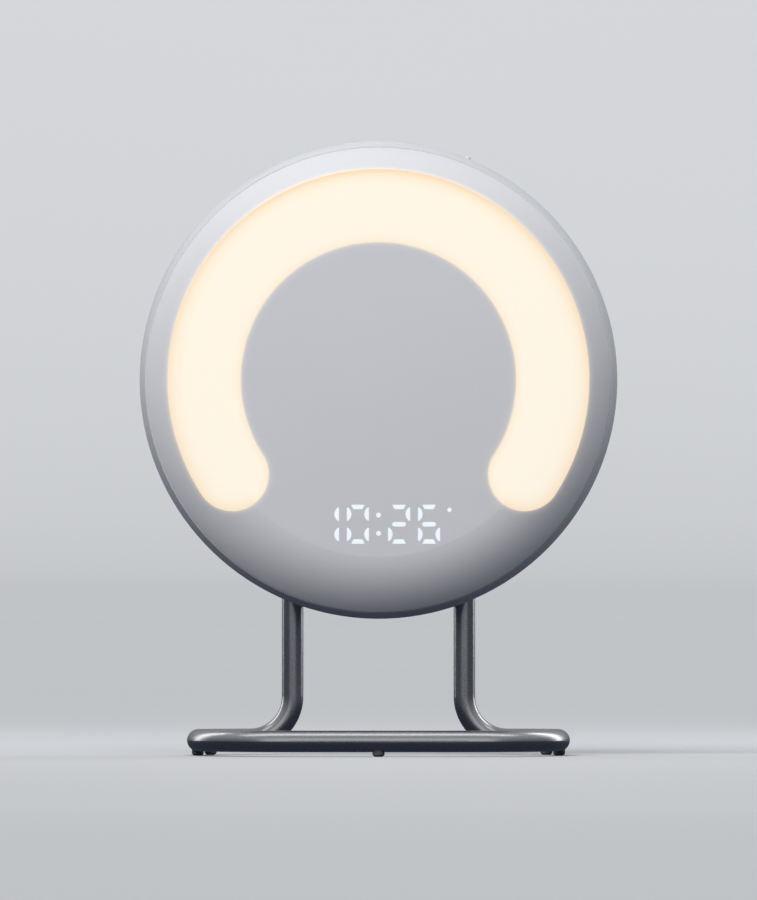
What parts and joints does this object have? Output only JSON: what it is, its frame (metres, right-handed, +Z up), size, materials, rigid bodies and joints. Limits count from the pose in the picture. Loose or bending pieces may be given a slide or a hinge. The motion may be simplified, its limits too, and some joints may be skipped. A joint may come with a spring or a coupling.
{
  "type": "sunrise alarm clock",
  "caption": "Round bedside alarm clock with a C-shaped wake-up light, a display glowing through its face, a snooze button on top and a bent-tube stand.",
  "frame": {"origin": "on the table under the middle of the clock's bounding box", "axes": "+Z up, the lit face looks along -Y, +X to the right as the face is seen"},
  "size_m": [0.2, 0.0916, 0.2574],
  "materials": {
    "face_plastic": "satin",
    "lit_window": "frosted, lit from behind",
    "white_plastic": "matte",
    "board_white": "satin",
    "led": "gloss",
    "dark_plastic": "matte",
    "lens": "translucent",
    "board_green": "satin",
    "screw_steel": "plain",
    "shell_plastic": "satin",
    "button_plastic": "satin",
    "grille_metal": "fine satin",
    "foam": "matte foam",
    "dark_metal": "satin",
    "paper_cone": "matte paper",
    "cast_metal": "as cast",
    "tube_metal": "satin gunmetal",
    "foot_rubber": "matte"
  },
  "bodies": {
    "case": {"front_cover": "face_plastic", "light_window": "lit_window", "light_chassis": "white_plastic", "led_board": "board_white", "leds": "led", "display_block": "dark_plastic", "segment_lenses": "lens", "display_board": "board_green", "main_board": "board_green", "board_parts": "dark_plastic", "board_screws": "screw_steel", "rear_housing": "shell_plastic", "case_screws": "screw_steel", "snooze_spring": "screw_steel", "snooze_switch": "dark_plastic", "snooze_board": "board_green", "snooze_screws": "screw_steel", "side_switch": "dark_plastic", "side_board": "board_green", "side_screws": "screw_steel", "key_board": "board_green", "key_switches": "dark_plastic", "key_screws": "screw_steel", "speaker_grille": "grille_metal", "speaker_gasket": "foam", "speaker_frame": "dark_metal", "speaker_cone": "paper_cone", "speaker_magnet": "dark_metal", "dc_jack": "dark_plastic", "stand_bracket": "cast_metal", "bracket_screws": "screw_steel", "leg_screws": "screw_steel", "stand_tube": "tube_metal", "feet": "foot_rubber"},
    "snooze": {"snooze_button": "button_plastic"},
    "side_button": {"side_key": "button_plastic"},
    "rear_key_1": {"rear_key_1": "button_plastic"},
    "rear_key_2": {"rear_key_2": "button_plastic"},
    "rear_key_3": {"rear_key_3": "button_plastic"},
    "rear_key_4": {"rear_key_4": "button_plastic"},
    "rear_key_5": {"rear_key_5": "button_plastic"}
  },
  "joints": [
    {"name": "snooze_press", "type": "slide", "parent": "case", "child": "snooze", "axis": [0, 0, -1], "range_m": [0, 0.001], "stiffness_N_per_m": 900, "springref_m": -0.0005, "deforming": ["snooze_spring"]},
    {"name": "side_key_press", "type": "slide", "parent": "case", "child": "side_button", "axis": [-0.3746, 0, -0.9272], "range_m": [0, 0.0005], "stiffness_N_per_m": 600, "springref_m": -0.0005},
    {"name": "rear_key_1_press", "type": "slide", "parent": "case", "child": "rear_key_1", "axis": [0, -1, 0], "range_m": [0, 0.0005], "stiffness_N_per_m": 600, "springref_m": -0.0005},
    {"name": "rear_key_2_press", "type": "slide", "parent": "case", "child": "rear_key_2", "axis": [0, -1, 0], "range_m": [0, 0.0005], "stiffness_N_per_m": 600, "springref_m": -0.0005},
    {"name": "rear_key_3_press", "type": "slide", "parent": "case", "child": "rear_key_3", "axis": [0, -1, 0], "range_m": [0, 0.0005], "stiffness_N_per_m": 600, "springref_m": -0.0005},
    {"name": "rear_key_4_press", "type": "slide", "parent": "case", "child": "rear_key_4", "axis": [0, -1, 0], "range_m": [0, 0.0005], "stiffness_N_per_m": 600, "springref_m": -0.0005},
    {"name": "rear_key_5_press", "type": "slide", "parent": "case", "child": "rear_key_5", "axis": [0, -1, 0], "range_m": [0, 0.0005], "stiffness_N_per_m": 600, "springref_m": -0.0005}
  ]
}
